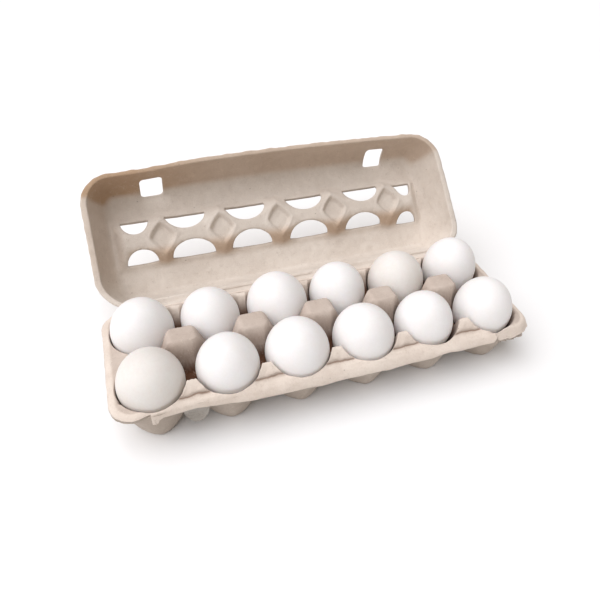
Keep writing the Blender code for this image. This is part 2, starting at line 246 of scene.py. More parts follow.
class Value:
    """A number that varies over a surface. Each operator adds one Math node."""

    def __init__(self, finish, socket):
        self.finish, self.socket = finish, socket

    def math(self, operation, *others, first=None):
        values = [self if first is None else first, *others]
        node = self.finish.add("ShaderNodeMath", {"operation": operation}, dict(enumerate(values)))
        return Value(self.finish, node.outputs[0])

    def __add__(self, other):
        return self.math("ADD", other)

    def __sub__(self, other):
        return self.math("SUBTRACT", other)

    def __rsub__(self, other):
        return self.math("SUBTRACT", self, first=other)

    def __mul__(self, other):
        return self.math("MULTIPLY", other)

    __radd__, __rmul__ = __add__, __mul__

    def distance_from(self, other):
        return (self - other).math("ABSOLUTE")

    def between(self, low, high):
        """0 below low, 1 above high, and smooth between them."""
        node = self.finish.add("ShaderNodeMapRange", {"interpolation_type": "SMOOTHSTEP"},
                               {"Value": self, "From Min": low, "From Max": high})
        return Value(self.finish, node.outputs["Result"])


class Finish:
    """One material. add() is the one way in for a node: its type, settings, then sockets."""

    def __init__(self, name):
        self.material = bpy.data.materials.new(name)
        self.material.use_nodes = True
        self.tree = self.material.node_tree
        self.tree.nodes.clear()
        self.place = self.add("ShaderNodeTexCoord").outputs["Object"]

    def add(self, kind, settings=None, sockets=None):
        node = self.tree.nodes.new(kind)
        for key, value in (settings or {}).items():
            setattr(node, key, value)
        for key, value in (sockets or {}).items():
            value = value.socket if isinstance(value, Value) else value
            if isinstance(value, bpy.types.NodeSocket):
                self.tree.links.new(value, node.inputs[key])
            else:
                node.inputs[key].default_value = value
        return node

    def noise(self, scale, detail=2.0, rough=0.5, at=None, warp=0.0):
        node = self.add("ShaderNodeTexNoise", None, {"Vector": at or self.place, "Scale": scale,
                        "Detail": detail, "Roughness": rough, "Distortion": warp})
        return Value(self, node.outputs["Fac"])

    def mix(self, share, a, b, how="MIX"):
        node = self.add("ShaderNodeMix", {"data_type": "RGBA", "blend_type": how},
                        {"Factor": share, 6: a, 7: b})
        return node.outputs[2]

    def turned(self, turn, scale=(1.0, 1.0, 1.0)):
        """The place turned, and stretched, so that two textures of a kind don't lie alike."""
        node = self.add("ShaderNodeMapping", None,
                        {"Vector": self.place, "Scale": scale, "Rotation": turn})
        return node.outputs["Vector"]

    def bump(self, height, strength, distance, below=None):
        sockets = {"Height": height, "Strength": strength, "Distance": distance}
        if below is not None:
            sockets["Normal"] = below
        return self.add("ShaderNodeBump", None, sockets).outputs["Normal"]

    def close(self, fixed, **varying):
        shader = self.add("ShaderNodeBsdfPrincipled", None, {**fixed, **varying})
        self.add("ShaderNodeOutputMaterial", None, {"Surface": shader.outputs["BSDF"]})
        return self.material


def colour(*srgb):
    """Linear colour from 0-255 screen values."""
    c = np.array(srgb) / 255.0
    return (*np.where(c <= 0.04045, c / 12.92, ((c + 0.055) / 1.055) ** 2.4).tolist(), 1.0)


WIRE_PITCH = 1.7 * MM


def pulp_finish(name, light, dark, mesh_marks=0.5, tint=None, crease=None):
    """Dried recycled pulp: cloudy tone, short curled fibres a little lighter or darker than the
    rest, a few dark flecks, a grain of fine pits and the faint square print of the wire mesh.
    tint is painted shade, multiplied in where the piece's own stored shade attribute says so.
    crease = (middle, side, pitch, half) folds it in short lines with painted shade along them:
    side away from the middle, one at each pitch along X."""
    f = Finish(name)
    cloud = f.noise(28.0, 3.0, 0.55)
    patch = f.noise(130.0, 3.0, 0.6)
    grain = f.noise(900.0, 3.0, 0.65)
    fine = f.noise(2600.0, 2.0, 0.6)
    curl = f.noise(330.0, 2.0, 0.5, warp=1.2)
    fibre = 1.0 - curl.distance_from(0.5).between(0.006, 0.028)
    fibre = fibre * f.noise(210.0, 1.0).between(0.48, 0.62)
    other = f.noise(460.0, 2.0, 0.5, at=f.turned((0.7, 0.4, 1.1)), warp=1.5)
    hair = 1.0 - other.distance_from(0.5).between(0.004, 0.020)
    hair = hair * f.noise(260.0, 1.0, at=f.turned((0.2, 1.4, 0.3))).between(0.54, 0.66)
    cells = f.add("ShaderNodeTexVoronoi", {"feature": "F1"},
                  {"Vector": f.turned((0.3, 0.5, 0.9), (1.0, 1.7, 1.3)), "Scale": 210.0})
    speck_size = Value(f, cells.outputs["Distance"])
    chance = f.add("ShaderNodeSeparateColor", None, {"Color": cells.outputs["Color"]})
    few = Value(f, chance.outputs["Red"]).between(0.90, 0.93)
    speck = (1.0 - speck_size.between(0.05, 0.17)) * few
    tone = cloud * 0.50 + patch * 0.34 + grain * 0.28 - 0.06
    base = f.mix(tone.between(0.28, 0.72), dark, light)
    if tint:
        # Painted shade: the tint is multiplied in as far as each point's stored share says.
        share = f.add("ShaderNodeAttribute", {"attribute_name": "painted_shade"}).outputs["Fac"]
        base = f.mix(share, base, tint, "MULTIPLY")
    base = f.mix(fibre * 0.22, base, colour(240, 226, 208))
    base = f.mix(hair * 0.30, base, colour(132, 104, 82))
    base = f.mix(speck * 0.55, base, colour(96, 74, 60))
    split = f.add("ShaderNodeSeparateXYZ", None, {"Vector": f.place})
    wire = 2.0 * pi / WIRE_PITCH
    across = (Value(f, split.outputs["X"]) * wire).math("SINE")
    along = ((Value(f, split.outputs["Y"]) + Value(f, split.outputs["Z"])) * wire).math("SINE")
    print_height = (across * along) * patch.between(0.40, 0.62) * mesh_marks
    height = (grain * 1.0 + fine * 0.45 + patch * 0.9 + fibre * 0.35 + hair * 0.25
              + print_height * 0.16)
    if crease:
        middle, side, pitch, half = crease
        wander = (f.noise(95.0, 2.0) - 0.5) * 0.0030
        off = (Value(f, split.outputs["Y"]).distance_from(middle) + wander).distance_from(side)
        step = (Value(f, split.outputs["X"]) * (1.0 / pitch) + 0.5).math("FRACT")
        from_gap = step.distance_from(0.5)
        there = 1.0 - from_gap.between((half - 0.0012) / pitch, (half + 0.0012) / pitch)
        along_x = Value(f, split.outputs["X"]).math("ABSOLUTE")
        there = there * (1.0 - along_x.between(0.120, 0.124))
        # Painted shade: a dark line along each crease and a faint wider brown band beside it, where
        # the groove's shadow falls.
        painted_crease_shade = (1.0 - off.between(0.0, 0.0008)) * there
        base = f.mix(painted_crease_shade * 0.75, base, colour(112, 84, 66))
        base = f.mix((1.0 - off.between(0.0004, 0.0030)) * there * 0.16, base, colour(150, 120, 98))
        height = height - (1.0 - off.between(0.0, 0.0014)) * there * 3.0
    lumps = f.bump(cloud + patch * 0.5, 0.35, 0.0022)
    normal = f.bump(height, 0.55, 0.00055, lumps)
    rough = 0.86 + grain * 0.10
    return f.close({"Specular IOR Level": 0.22, "Sheen Weight": 0.10, "Sheen Roughness": 0.6},
                   **{"Base Color": base, "Roughness": rough, "Normal": normal})


def tray_form(x, y):
    """The tray's upper side with its rim rolled down at the edge, most at the front right corner,
    and the slow waves that come with drying."""
    inside = edge_distance(x, y)
    hang = np.interp(x, [114.0, 122.0, 130.0, 141.0], [0.0, 5.4, 5.4, 3.4])
    hang = hang * smooth((-y - 6.0) / 20.0)
    hang = hang * (1.0 + 0.16 * dents(x, y, 5.0, 9))
    z = tray_top(x, y) - smooth(1.0 - inside / RIM_ROLL) * (1.1 + hang)
    z = z - smooth(1.0 - inside / 1.0) * (0.5 + 0.3 * hang)
    waves = 0.22 * dents(x, y, 34.0, 5) + 0.10 * dents(x, y, 9.0, 6)
    return np.maximum(z + waves, PULP_WALL)


def under_side(x, y, wall):
    """The point a wall's thickness behind the upper side, square to its slope, kept under it and
    above the table."""
    step = 0.05
    zx = (tray_form(x + step, y) - tray_form(x - step, y)) / (2 * step)
    zy = (tray_form(x, y + step) - tray_form(x, y - step)) / (2 * step)
    length = np.sqrt(1.0 + zx ** 2 + zy ** 2)
    ux, uy = x + wall * zx / length, y + wall * zy / length
    uz = np.minimum(tray_form(x, y) - wall / length, tray_form(ux, uy) - 0.9)
    return ux, uy, np.maximum(uz, 0.0)


plan = cup_cells()
px, py = plan[..., 0], plan[..., 1]
inside = edge_distance(px, py)
edge = np.clip(1.0 - inside / RIM_WIDTH, 0.0, 1.0)
ragged = edge * (0.30 * dents(px, py, 21.0, 7) + 0.14 * dents(px, py, 5.0, 8))
skirt = smooth((px - 124.0) / 18.0) * smooth((-py - 6.0) / 20.0) * smooth(1.0 - inside / 6.0)
shift_x = 1.8 * skirt - np.sign(px) * ragged * (np.abs(px) > 130)
shift_y = TRAY_Y - 1.0 * skirt - np.sign(py) * ragged
top = np.stack([px + shift_x, py + shift_y, tray_form(px, py)], axis=-1)
ux, uy, uz = under_side(px, py, PULP_WALL)
under = np.stack([ux + shift_x, uy + shift_y, uz], axis=-1)
rings, rays = plan.shape[1:3]
cell = grid_faces(rings, rays, wrap=True)
start = (np.arange(12) * rings * rays)[:, None, None]
top_quads = (cell[None] + start).reshape(-1, 4)[:, ::-1]
under_quads = (cell[None] + start + top[..., 0].size).reshape(-1, 4)
last = (rings - 1) * rays + np.arange(rays)
after = (rings - 1) * rays + (np.arange(rays) + 1) % rays
on_outline = (inside[:, -1] < 0.02) & (np.roll(inside[:, -1], -1, axis=1) < 0.02)
hem = np.stack([last, after, after + top[..., 0].size, last + top[..., 0].size], axis=-1)
hem = (hem[None] + start)[on_outline]
tray_quads = np.concatenate([top_quads, under_quads, hem])
tray_sides = np.concatenate([np.zeros(len(top_quads)), np.ones(len(under_quads) + len(hem))])
tray_points = np.concatenate([top.reshape(-1, 3), under.reshape(-1, 3)]) * MM
tray = piece("tray_pulp", closed_mesh("tray_pulp", tray_points, tray_quads, tray_sides))
# Painted shade: the tint (118, 84, 64) darkens the cups' depths and the tall posts, and CREASE draws
# shade lines at the feet of the low posts.
CREASE = (TRAY_Y * MM, 43.8 * MM, CUP_PITCH * MM, 10.0 * MM)
tray_finish = pulp_finish("tray pulp", colour(232, 220, 208), colour(214, 199, 186), 0.5,
                          colour(118, 84, 64), CREASE)
# Painted shade: the underside is darker to stand for the shade on the feet and outer walls under the
# rim.
tray_under = pulp_finish("tray pulp, underside with painted shade", colour(190, 177, 165), colour(168, 154, 141))
tray.data.materials.append(tray_finish)
tray.data.materials.append(tray_under)


def tray_painted_shade(x, y, z):
    """Painted shade: browner towards the bottoms of the cups, and a little on the tall posts."""
    y = y - TRAY_Y
    deep = smooth((40.5 - z) / 15.0) * smooth((edge_distance(x, y) - 3.6) / 1.6)
    post = smooth((23.0 - np.abs(y)) / 3.0) * (np.abs(x) < 128.0)
    return np.maximum(deep, post * (0.34 + 0.25 * smooth((46.0 - z) / 8.0)))


painted_shade(tray, tray_painted_shade)
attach(tray, "tray")
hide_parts("tray")


# ---------------------------------------------------------------- the eggs
# Twelve white hen's eggs, blunt end up, one in each cup. Each is its own size and sits at its own
# height. The shell is chalky calcium carbonate with fine pores and a slightly uneven surface.
EGG_SIDES, EGG_RINGS = 72, 56
LONG_END, NARROWING = 1.47, 0.18
EGG_SIZES = {
    "front": ((21.8, -0.3, 34.6, 1.13), (21.2, 0.9, 34.6, 1.13), (22.2, 0.2, 34.8, 1.10),
              (21.9, 0.3, 34.5, 1.12), (20.9, -1.2, 35.0, 1.17), (21.2, -0.8, 35.8, 1.19)),
    "back": ((22.0, -0.2, 34.8, 1.13), (21.4, -1.1, 33.8, 1.12), (22.6, 0.3, 35.2, 1.11),
             (21.4, -0.6, 35.2, 1.13), (21.9, 0.1, 34.6, 1.13), (20.8, -1.5, 37.5, 1.24)),
}


def egg_shell(radius, blunt, seed):
    """A turned profile: the radius times the cosine of the latitude, drawn in below the widest
    place, with the height a longer multiple of the sine below than above; slow waves on top."""
    latitude = np.linspace(pi / 2, -pi / 2, EGG_RINGS)[:, None]
    turn = np.linspace(0.0, 2 * pi, EGG_SIDES, endpoint=False)[None, :]
    low = np.minimum(np.sin(latitude), 0.0)
    girth = radius * np.cos(latitude) * (1.0 - NARROWING * low ** 2)
    tall = radius * np.where(latitude > 0, blunt, LONG_END) * np.sin(latitude)
    wave = 0.004 * np.sin(2 * turn + seed) * np.cos(latitude)
    wave = 1.0 + wave + 0.003 * np.sin(3 * latitude + seed * 1.7)
    girth = girth * wave
    return np.stack([girth * np.cos(turn), girth * np.sin(turn), tall + 0 * turn], axis=-1)


def egg_finish(name, light, shade):
    """White shell: a faint cloudiness in the tone, pores as fine pits, and a low gloss."""
    f = Finish(name)
    cloud = f.noise(55.0, 3.0, 0.55)
    fine = f.noise(620.0, 2.0, 0.6)
    cells = f.add("ShaderNodeTexVoronoi", {"feature": "F1"}, {"Vector": f.place, "Scale": 900.0})
    pore = 1.0 - Value(f, cells.outputs["Distance"]).between(0.05, 0.30)
    base = f.mix((cloud * 0.7 + fine * 0.3).between(0.30, 0.70), shade, light)
    base = f.mix(pore * 0.10, base, colour(214, 204, 192))
    normal = f.bump(fine * 0.8 + cloud * 1.2 - pore * 0.6, 0.30, 0.00022)
    fixed = {"Specular IOR Level": 0.35, "Subsurface Weight": 0.06, "Subsurface Scale": 0.004}
    return f.close(fixed, **{"Base Color": base, "Roughness": 0.50 + fine * 0.10, "Normal": normal})


shell_white = egg_finish("white shell", colour(241, 239, 238), colour(236, 233, 231))
shell_cream = egg_finish("cream white shell", colour(232, 228, 223), colour(226, 220, 214))
egg_quads = grid_faces(EGG_RINGS, EGG_SIDES, wrap=True)
for row, side in (("front", -1.0), ("back", 1.0)):
    for column, (radius, shift, height, blunt) in enumerate(EGG_SIZES[row]):
        node = f"egg_{row}_{column + 1}"
        place = (CUP_X[column] + shift, TRAY_Y + side * ROW_Y, height)
        shell = egg_shell(radius, blunt, column + (0.0 if side < 0 else 2.6)) + np.array(place)
        egg = piece(f"{node}_shell", closed_mesh(f"{node}_shell", shell * MM, egg_quads[:, ::-1]))
        cream = (row, column) in (("front", 0), ("back", 4))
        egg.data.materials.append(shell_cream if cream else shell_white)
        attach(egg, "tray")
        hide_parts(node)


# ---------------------------------------------------------------- the lid
# The top half, moulded together with the tray and hung on its back rim: a shallow dish with
# rounded corners and a long ridge down its panel. The ridge carries five diamond sockets for the
# tray's posts and twelve half-moon vents, and two latch holes are stamped in the front wall.
HINGE_Y, HINGE_Z, LID_OPEN = TRAY_Y + 50.0, 35.4, radians(138.0)
LID_PITCH = 1.2
LID_DEPTH, LID_CURVE = 30.6, 1.6
PANEL_X, PANEL_BACK, PANEL_FRONT = 126.0, 25.0, 79.9
WALL_LENGTH = 34.0
RIDGE_Y, RIDGE_HEIGHT, RIDGE_CREST, RIDGE_BASE = 53.45, 11.0, 5.0, 22.0
RIDGE_END, RIDGE_SLOPE = 125.0, 9.0
SOCKET_X, SOCKET_Y, DIMPLE_X, DIMPLE_Y, SOCKET_DEPTH = 14.5, 15.5, 10.3, 12.3, 3.0
SOCKETS = GAP_X + np.array([2.8, 1.8, 1.4, 1.2, 2.6])
UPPER_VENTS = ((-115.2, 10.8, 6.0), (-75.0, 16.3, 5.2), (-25.0, 17.0, 4.2), (26.6, 16.2, 5.2),
               (79.0, 15.6, 4.4), (119.0, 8.2, 3.4))
LOWER_VENTS = ((-113.6, 12.2, 6.6), (-72.8, 17.4, 4.6), (-24.5, 17.0, 4.4), (25.2, 17.0, 4.6),
               (75.4, 16.6, 5.4), (117.6, 9.6, 10.2))
UPPER_LINE, LOWER_LINE, END_DROP = 18.0, 17.3, 2.4
LATCH_HOLES = ((-96.4, 9.0, 4.0, 23.4, 0.03), (98.2, 8.5, 1.2, 21.6, 0.0))


def steep(level):
    """How far across a wall a level from 0 at its foot to 1 at its rim lies, so that equal steps
    of the level are about equal steps along the curved wall."""
    return np.sin(pi / 2 * np.clip(level, 0.0, 1.0)) ** (2.0 / LID_CURVE)


def levels(t, foot):
    """From a distance beyond the panel's inner line: -1 there, 0 at the wall's foot, 1 at its
    rim and 2 at the free edge."""
    flange = foot[2]
    low = np.clip(t / foot[0], 0.0, 1.0) - 1.0
    wall = np.clip((t - foot[0]) / WALL_LENGTH, 0.0, 1.0)
    return low + wall + np.clip((t - foot[0] - WALL_LENGTH) / flange, 0.0, 1.0)


def reach(level, foot):
    """The plan distance that goes with a level: the foot, the wall's run and the flange."""
    return (foot[0] * np.clip(level + 1.0, 0.0, 1.0) + foot[1] * steep(level)
            + foot[2] * np.clip(level - 1.0, 0.0, 1.0))


SIDE_FOOT, FRONT_FOOT, BACK_FOOT = (4.5, 15.0, 4.5), (9.5, 11.0, 3.2), (11.0, 10.0, 3.2)


def full_length(foot):
    return foot[0] + WALL_LENGTH + foot[2]


def steps(low, high, pitch):
    return np.linspace(low, high, int(round((high - low) / pitch)) + 1)


def opened_grid(us, vs, distance, near):
    """A grid of triangles with openings. distance(u, v) is negative in an opening. Grid points
    close to an opening's edge are drawn onto it along the gradient, each quad is split along the
    diagonal that follows the edge, and the triangles inside are left out."""
    u, v = np.meshgrid(us, vs, indexing="ij")
    first = distance(u, v)
    close = np.abs(first) < near
    step = 1e-3
    for _ in range(4):
        d = distance(u, v)
        gu = (distance(u + step, v) - distance(u - step, v)) / (2 * step)
        gv = (distance(u, v + step) - distance(u, v - step)) / (2 * step)
        size = np.maximum(gu ** 2 + gv ** 2, 1e-3)
        move = close & (np.abs(d) < 2 * near)
        u = u - np.where(move, d * gu / size, 0.0)
        v = v - np.where(move, d * gv / size, 0.0)
    d = distance(u, v).ravel()
    quads = grid_faces(len(us), len(vs))
    a, b, c, e = quads.T
    on = np.abs(d) < 0.05
    other = (on[b] & on[e]) | ((np.sign(d[a]) * np.sign(d[c]) > 0) & (d[b] * d[e] < 0))
    other = other & ~(on[a] & on[c])
    other = other[:, None]
    first_half = np.where(other, np.stack([a, b, e], axis=-1), np.stack([a, b, c], axis=-1))
    second_half = np.where(other, np.stack([b, c, e], axis=-1), np.stack([a, c, e], axis=-1))
    faces = np.concatenate([first_half, second_half])
    centre_u, centre_v = u.ravel()[faces].mean(axis=1), v.ravel()[faces].mean(axis=1)
    keep = (distance(centre_u, centre_v) > 0.0) & (d[faces].min(axis=1) > -0.15 * near)
    return u, v, faces[keep]


def half_moon(u, v, centre, half, inner, line, side):
    """Signed distance to a vent: a straight edge on its outer side, an arc towards the crest."""
    off = side * (v - RIDGE_Y)
    tall = line - inner
    du, dv = (u - centre), line - off
    q = np.hypot(du / half, dv / tall)
    slope = np.maximum(np.hypot(du / half ** 2, dv / tall ** 2), 1e-4)
    return np.maximum((q - 1.0) * q / slope, -dv)


def latch_hole(u, v, centre, half, low, high, lean):
    """Signed distance to a latch hole: a round-cornered rectangle that leans a little."""
    middle, half_v, corner = (low + high) / 2, (high - low) / 2, 3.2
    qu = np.abs(u - centre - lean * (v - middle)) - half + corner
    qv = np.abs(v - middle) - half_v + corner
    outside = np.hypot(np.clip(qu, 0, None), np.clip(qv, 0, None))
    return outside + np.minimum(np.maximum(qu, qv), 0) - corner


def lid_openings(u, v):
    """Signed distance to the nearest of the vents and latch holes in the unrolled lid."""
    near = np.full(u.shape, 50.0)
    for vents, line, side in ((LOWER_VENTS, LOWER_LINE, -1.0), (UPPER_VENTS, UPPER_LINE, 1.0)):
        for centre, half, inner in vents:
            level = line - side * END_DROP * smooth((centre - 90.0) / 20.0)
            near = np.minimum(near, half_moon(u, v, centre, half, inner, level, side))
    foot = PANEL_FRONT + FRONT_FOOT[0]
    for centre, half, low, high, lean in LATCH_HOLES:
        near = np.minimum(near, latch_hole(u, v, centre, half, foot + low, foot + high, lean))
    return near


def lid_form(u, v):
    """Lid plan and depth from its unrolled coordinates. Where a side wall meets an end wall, the
    larger of their two levels gives the distance from the corner's centre and their ratio the
    direction, so the wall turns the corner in one sweep. The ridge is then drawn up from the
    panel, the sockets sunk into it, and slow waves added."""
    side, front = np.sign(u), v > (PANEL_BACK + PANEL_FRONT) / 2
    lu = levels(np.abs(u) - PANEL_X, SIDE_FOOT)
    lv = np.where(front, levels(v - PANEL_FRONT, FRONT_FOOT), levels(PANEL_BACK - v, BACK_FOOT))
    level = np.maximum(lu, lv)
    turn = np.arctan2(lv + 1.0, np.maximum(lu + 1.0, 1e-9))
    rx = reach(level, SIDE_FOOT)
    ry = np.where(front, reach(level, FRONT_FOOT), reach(level, BACK_FOOT))
    corner = (lu > -1.0) & (lv > -1.0)
    beyond_x = np.where(corner, rx * np.cos(turn), reach(lu, SIDE_FOOT))
    flat_y = np.where(front, reach(lv, FRONT_FOOT), reach(lv, BACK_FOOT))
    beyond_y = np.where(corner, ry * np.sin(turn), flat_y)
    x = np.where(np.abs(u) > PANEL_X, side * (PANEL_X + beyond_x), u)
    y = np.where(v < PANEL_BACK, PANEL_BACK - beyond_y, v)
    y = np.where(v > PANEL_FRONT, PANEL_FRONT + beyond_y, y)
    brow = 4.0 * (1.0 - (x / 150.0) ** 2) - 1.7 * np.exp(-((x + 104.0) / 30.0) ** 2)
    y = y + brow * smooth((y - 75.4) / 28.0)
    wall = (1.0 - np.clip(steep(level), 0.0, 1.0) ** LID_CURVE) ** (1.0 / LID_CURVE)
    off = np.abs(y - RIDGE_Y - 0.8)
    gap = away(x, SOCKETS)
    socket = np.clip(1.0 - gap / SOCKET_X, 0.0, 1.0) ** 0.85
    crest = RIDGE_CREST + (SOCKET_Y - RIDGE_CREST) * socket
    rise = (RIDGE_BASE - off) / (RIDGE_BASE - crest)
    rise = lower_of(rise, (RIDGE_END + RIDGE_SLOPE - np.abs(x)) / RIDGE_SLOPE, 0.25)
    rise = higher_of(lower_of(rise, np.ones_like(rise), 0.20), np.zeros_like(rise), 0.12)
    rise = np.clip(rise, 0.0, 1.0)
    diamond = 1.0 - ((gap / DIMPLE_X) ** 1.25 + (off / DIMPLE_Y) ** 1.25) ** 0.8
    pad = smooth(diamond / 0.26)
    lip = np.exp(-((diamond + 0.10) / 0.09) ** 2)
    depth = LID_DEPTH * wall - RIDGE_HEIGHT * rise + SOCKET_DEPTH * pad
    depth = depth - 0.7 * lip * smooth(rise * 2)
    panel = smooth(1.2 - level)
    depth = depth + panel * (0.35 * dents(x, y, 60.0, 21) + 0.12 * dents(x, y, 12.0, 22))
    rim = smooth(level - 0.9)
    wave = np.maximum(0.45 * dents(x, y, 75.0, 23) + 0.10 * dents(x, y, 8.0, 24), -0.10)
    depth = depth + rim * wave + 0.5 * smooth(level - 1.55)
    room = 1.0 + 0.9 * np.exp(-((x + 24.0) / 10.0) ** 2)
    y = y - room * smooth((9.5 - y) / 5.5) * smooth(y / 3.9)
    x = x - side * rim * 0.22 * dents(x, y, 9.0, 25)
    x = x + 2.4 * smooth((x - 138.0) / 10.0) * np.exp(-((y - 7.0) / 8.0) ** 2)
    y = y - np.where(front, 1.0, 0.0) * rim * 0.30 * dents(x, y, 11.0, 26)
    return x, y, depth


def lid_place(x, y, depth):
    """Row-frame place of a point of the lid: turned back about the hinge by its open angle."""
    c, s = -cos(LID_OPEN), sin(LID_OPEN)
    return np.stack([x, HINGE_Y + c * y + s * depth, HINGE_Z + s * y - c * depth], axis=-1) * MM


side_end = PANEL_X + full_length(SIDE_FOOT)
lid_us = steps(-side_end, side_end, LID_PITCH)
lid_vs = steps(PANEL_BACK - full_length(BACK_FOOT), PANEL_FRONT + full_length(FRONT_FOOT),
               LID_PITCH)
lu_grid, lv_grid, lid_faces = opened_grid(lid_us, lid_vs, lid_openings, 0.56 * LID_PITCH)
lid_points = lid_place(*lid_form(lu_grid, lv_grid))
lid = piece("lid_pulp", closed_mesh("lid_pulp", lid_points, lid_faces[:, ::-1]))
# Painted shade: the tint (216, 192, 168) browns the lid's walls and the foot of its ridge.
lid_finish = pulp_finish("lid pulp", colour(221, 211, 200), colour(205, 193, 181), 0.8,
                         colour(216, 192, 168))
lid_under = pulp_finish("lid pulp, mould side", colour(205, 191, 178), colour(184, 169, 155), 0.3)
give_wall(lid, PULP_WALL, lid_finish, lid_under)


def lid_painted_shade(x, y, z):
    """Painted shade: browner on the walls, most at the left of the front wall, and below the ridge."""
    c, s = -cos(LID_OPEN), sin(LID_OPEN)
    out = c * (y - HINGE_Y) + s * (z - HINGE_Z)
    depth = s * (y - HINGE_Y) - c * (z - HINGE_Z)
    wall = smooth((29.6 - depth) / 6.0)
    front = wall * smooth((out - 84.0) / 6.0) * (0.55 + 0.45 * smooth((-x - 30.0) / 90.0))
    side = wall * smooth((-x - 125.0) / 8.0) * smooth(out / 40.0) * 0.25
    ridge = smooth((30.0 - depth) / 5.0) * smooth((out - 30.0) / 4.0) * smooth((50.0 - out) / 9.0)
    ridge = ridge * smooth((126.0 - np.abs(x)) / 6.0)
    return np.clip(np.maximum(front, side) + 0.75 * ridge, 0.0, 1.0)


painted_shade(lid, lid_painted_shade)
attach(lid, "lid")
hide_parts("lid")


# ---------------------------------------------------------------- the lock flap
# A narrow strip of thin pulp moulded on the tray's front rim, folded down outside. Two half-round
# tongues on its edge snap into the lid's latch holes; their moulding left rings round each dome.
FOLD_Y, FLAP_Z = TRAY_Y - 48.9, 35.0
FLAP_WALL, FLAP_ROWS = 1.5, 32
FLAP_LEFT, FLAP_RIGHT, FLAP_START, FOLD_START = -126.2, 119.5, 2.0, 1.4
EAR_WIDTH, EAR_TIP, EAR_FILLET = 3.2, 11.0, 4.6
TONGUE_X, TONGUE_HALF, TONGUE_TIP, TONGUE_DOME = np.array([-98.3, 95.6]), 7.6, 19.2, 1.6


def flap_edge(u):
    """Depth of the strip's lower edge below the rim: shallow at the left, deeper to the right."""
    depth = np.interp(u, [-126.0, -115.0, -98.0, -85.0, -62.0, 60.0, 95.0, 113.0],
                      [5.9, 5.6, 4.7, 5.6, 7.3, 7.7, 7.0, 6.6])
    swell = 1.4 * np.exp(-((u + 15.0) / 9.0) ** 2) + 1.0 * np.exp(-((u - 34.0) / 8.0) ** 2)
    swell = swell - 1.6 * np.exp(-((u - 78.0) / 8.0) ** 2)
    return depth + swell + 0.18 * np.sin(u / 19.0 + 0.6) + 0.10 * np.sin(u / 7.0)


def flap_bow(u, v):
    """How far out of the rim's edge the flap stands: a rolled shoulder down to its lower edge,
    flatter at the left, and below the edge the tongues lean back in."""
    out = np.interp(u, [-126.0, -98.0, -85.0, -62.0, 20.0, 90.0, 113.0],
                    [1.2, 0.8, 2.0, 3.7, 4.5, 4.4, 4.6])
    low = flap_edge(u)
    share = np.clip((v - FOLD_START) / (low - FOLD_START), 0.0, 1.0)
    roll = np.sin(pi / 2 * share) ** 0.75
    lean = np.where(u < 0.0, 0.05, 0.80)
    return out * roll - lean * np.clip(v - low, 0.0, None)


def flap_bottom(u):
    """Where the flap ends below the rim: the strip's wavy edge, an ear that hangs at its left end
    and runs into it by a fillet, two half-round tongues, and a slanted right end."""
    edge = flap_edge(u)
    past_ear = np.maximum(u - FLAP_LEFT - EAR_WIDTH, 1e-3)
    fillet = edge - 1.7 * np.log(past_ear / EAR_FILLET)
    ear = np.minimum(np.where(u - FLAP_LEFT < EAR_WIDTH + EAR_FILLET, fillet, edge), EAR_TIP)
    bottom = np.maximum(edge, ear)
    round_off = np.sqrt(np.clip(1.0 - (away(u, TONGUE_X) / TONGUE_HALF) ** 2, 0.0, 1.0))
    bottom = np.maximum(bottom, edge + (TONGUE_TIP - edge) * round_off)
    return np.minimum(bottom, FLAP_START + 0.3 + 1.1 * (FLAP_RIGHT - u))


def flap_place(u, v, behind=0.0):
    """Row-frame place of a flap point: v down from the rim's level, out by the bow, with the
    tongues' shallow domes, their rings and the pulp's slow waves."""
    nearest = away(u, TONGUE_X)
    low = flap_edge(u)
    share = np.clip((v - low) / (TONGUE_TIP - low), 0.0, 1.0)
    across = np.clip(nearest / TONGUE_HALF, 0.0, 1.0)
    dome = TONGUE_DOME * np.sin(pi * np.clip(share * 1.05, 0.0, 1.0)) * (1.0 - across ** 2)
    radius = np.hypot(nearest, v - low - 1.0)
    rings = 0.16 * np.sin(2 * pi * radius / 2.6)
    rings = rings * smooth(share * 6.0) * smooth((1.0 - share) * 4.0)
    grown = smooth((v - FOLD_START) / 3.0)
    warp = grown * (0.30 * dents(u, v, 40.0, 31) + 0.12 * dents(u, v, 9.0, 32))
    out = flap_bow(u, v) - dome + rings + warp - behind
    return np.stack([u, FOLD_Y - out, FLAP_Z - v], axis=-1) * MM


tongue_turn = np.cos(np.linspace(pi, 0.0, 41)) * TONGUE_HALF
starts, ends = TONGUE_X - TONGUE_HALF - 0.4, TONGUE_X + TONGUE_HALF + 0.4
flap_us = np.unique(np.concatenate([
    steps(FLAP_LEFT, starts[0], 0.4), TONGUE_X[0] + tongue_turn, steps(ends[0], starts[1], 1.0),
    TONGUE_X[1] + tongue_turn, steps(ends[1], FLAP_RIGHT, 0.4)]))
fu, share = np.meshgrid(flap_us, np.linspace(0.0, 1.0, FLAP_ROWS), indexing="ij")
fv = FLAP_START + share * (flap_bottom(fu) - FLAP_START)
flap_points = flap_place(fu, fv)
flap_faces = grid_faces(*fu.shape)
flap = piece("lock_flap_pulp", closed_mesh("lock_flap_pulp", flap_points, flap_faces))
# Painted shade: the grey tint (186, 190, 192) darkens the tongues below the strip's edge.
flap_finish = pulp_finish("flap pulp", colour(232, 220, 208), colour(214, 199, 186), 0.4,
                          colour(186, 190, 192))
give_wall(flap, FLAP_WALL, flap_finish)
# Painted shade on the tongues below the strip's lower edge; the ear at the left end is left out.
painted_shade(flap, lambda x, y, z: smooth((FLAP_Z - z - flap_edge(x) + 0.4) / 0.8) * (x > -115.0))
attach(flap, "lock_flap")
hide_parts("lock_flap")


# ---------------------------------------------------------------- the living hinges
# Where the rim runs on into the lid at the back and into the flap at the front, the pulp is
# pressed thin and creased. Each is a thin strip that lies on both parts, shaped round the fold.
FOLD_WALL = 1.3


